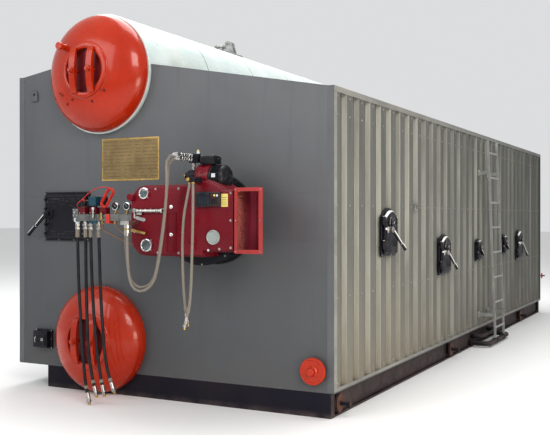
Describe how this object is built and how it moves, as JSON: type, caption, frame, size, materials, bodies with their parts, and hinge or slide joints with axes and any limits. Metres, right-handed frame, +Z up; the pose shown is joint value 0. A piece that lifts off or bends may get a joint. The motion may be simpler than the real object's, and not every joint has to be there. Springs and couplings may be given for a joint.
{
  "type": "packaged two-drum water-tube steam boiler with an oil and gas burner",
  "caption": "Long insulated boiler casing on a steel skid, orange dished drum ends, red burner with hoses, hinged furnace doors and a side ladder.",
  "frame": {"origin": "on the floor under the middle of the casing's length and width, on the skid's bottom face", "axes": "+Z up, +X to the furnace side with the doors and ladder, front wall with the burner facing -Y"},
  "size_m": [3.346, 9.2334, 3.43],
  "materials": {
    "casing_grey": "satin grey paint on flat steel sheet, light dust",
    "galvanised_sheet": "corrugated galvanised sheet, weathered, stained at the foot",
    "drum_orange": "glossy orange primer on pressed heads, scuffed at the edges",
    "jacket_metal": "bright jacket sheet with overlapping seams",
    "burner_crimson": "glossy crimson enamel",
    "intake_red": "bright red enamel on folded sheet",
    "skid_black": "black primer, dusty and rust brown along the foot",
    "cast_black": "black painted iron casting, worn on edges",
    "motor_black": "black paint",
    "bare_steel": "machined steel fittings, oily",
    "galvanised_steel": "galvanised ladder bars",
    "valve_red": "dark red enamel",
    "control_slate": "dark slate panel",
    "hose_rubber": "black oil hose",
    "hose_braid": "beige braided sleeve",
    "cable_red": "bright red cable"
  },
  "bodies": {
    "root": {"skid_base": "skid_black", "base_trunnions": "skid_black", "floor_plates": "casing_grey", "front_wall": "casing_grey", "rear_wall": "casing_grey", "right_wall": "casing_grey", "left_wall": "casing_grey", "roof_panels": "casing_grey", "side_cladding": "galvanised_sheet", "casing_trims": "galvanised_sheet", "steam_drum": "drum_orange", "drum_jacket": "jacket_metal", "steam_drum_front_head": "drum_orange", "water_drum": "drum_orange", "water_drum_front_head": "drum_orange", "drum_rear_heads": "drum_orange", "front_manways": "drum_orange", "rear_manways": "drum_orange", "drum_top_fitting": "galvanised_steel", "header_flange": "drum_orange", "cleanout_box": "cast_black", "flue_collar": "casing_grey", "burner_flange": "motor_black", "burner_housing": "burner_crimson", "fan_volute": "motor_black", "air_intake_box": "intake_red", "blower_motor": "motor_black", "oil_pump": "motor_black", "control_box": "control_slate", "sight_glasses": "bare_steel", "oil_manifold": "bare_steel", "oil_valves": "valve_red", "pressure_gauges": "bare_steel", "ladder": "galvanised_steel", "drain_pipes": "skid_black", "corner_valve": "valve_red", "door_frames": "cast_black", "black_hose_1": "hose_rubber", "black_hose_2": "hose_rubber", "black_hose_3": "hose_rubber", "black_hose_4": "hose_rubber", "loop_hose_1": "hose_braid", "loop_hose_2": "hose_braid", "tail_hose_1": "hose_braid", "tail_hose_2": "hose_braid", "hose_ends": "bare_steel", "valve_cable": "cable_red", "cable_lead": "cable_red"},
    "leaf_1": {"furnace_door_1": "cast_black"},
    "leaf_2": {"furnace_door_2": "cast_black"},
    "leaf_3": {"furnace_door_3": "cast_black"},
    "port_1": {"furnace_port_1": "cast_black"},
    "port_2": {"furnace_port_2": "cast_black"},
    "access_leaf": {"access_door": "cast_black"},
    "lever_1": {"door_lever_1": "cast_black"},
    "lever_2": {"door_lever_2": "cast_black"},
    "lever_3": {"door_lever_3": "cast_black"},
    "access_handle": {"access_lever": "cast_black"}
  },
  "joints": [
    {"name": "furnace_door_1_hinge", "type": "hinge", "parent": "root", "child": "leaf_1", "pos_m": [1.601, -3.158, 1.39], "axis": [0, 0, -1], "range_deg": [0, 110]},
    {"name": "door_lever_1_pivot", "type": "hinge", "parent": "leaf_1", "child": "lever_1", "pos_m": [1.654, -3.076, 1.412], "axis": [1, 0, 0], "range_deg": [0, 50]},
    {"name": "furnace_door_2_hinge", "type": "hinge", "parent": "root", "child": "leaf_2", "pos_m": [1.601, -1.476, 1.132], "axis": [0, 0, -1], "range_deg": [0, 110]},
    {"name": "door_lever_2_pivot", "type": "hinge", "parent": "leaf_2", "child": "lever_2", "pos_m": [1.654, -1.394, 1.154], "axis": [1, 0, 0], "range_deg": [0, 50]},
    {"name": "furnace_door_3_hinge", "type": "hinge", "parent": "root", "child": "leaf_3", "pos_m": [1.601, 2.23, 1.127], "axis": [0, 0, -1], "range_deg": [0, 110]},
    {"name": "door_lever_3_pivot", "type": "hinge", "parent": "leaf_3", "child": "lever_3", "pos_m": [1.654, 2.312, 1.149], "axis": [1, 0, 0], "range_deg": [0, 50]},
    {"name": "furnace_port_1_hinge", "type": "hinge", "parent": "root", "child": "port_1", "pos_m": [1.601, 0.022, 1.132], "axis": [0, 0, -1], "range_deg": [0, 110]},
    {"name": "furnace_port_2_hinge", "type": "hinge", "parent": "root", "child": "port_2", "pos_m": [1.601, 1.384, 1.16], "axis": [0, 0, -1], "range_deg": [0, 110]},
    {"name": "access_door_hinge", "type": "hinge", "parent": "root", "child": "access_leaf", "pos_m": [-0.749, -4.161, 1.525], "axis": [0, 0, 1], "range_deg": [0, 90]},
    {"name": "access_lever_pivot", "type": "hinge", "parent": "access_leaf", "child": "access_handle", "pos_m": [-1.171, -4.214, 1.55], "axis": [0, 1, 0], "range_deg": [0, 50]}
  ]
}
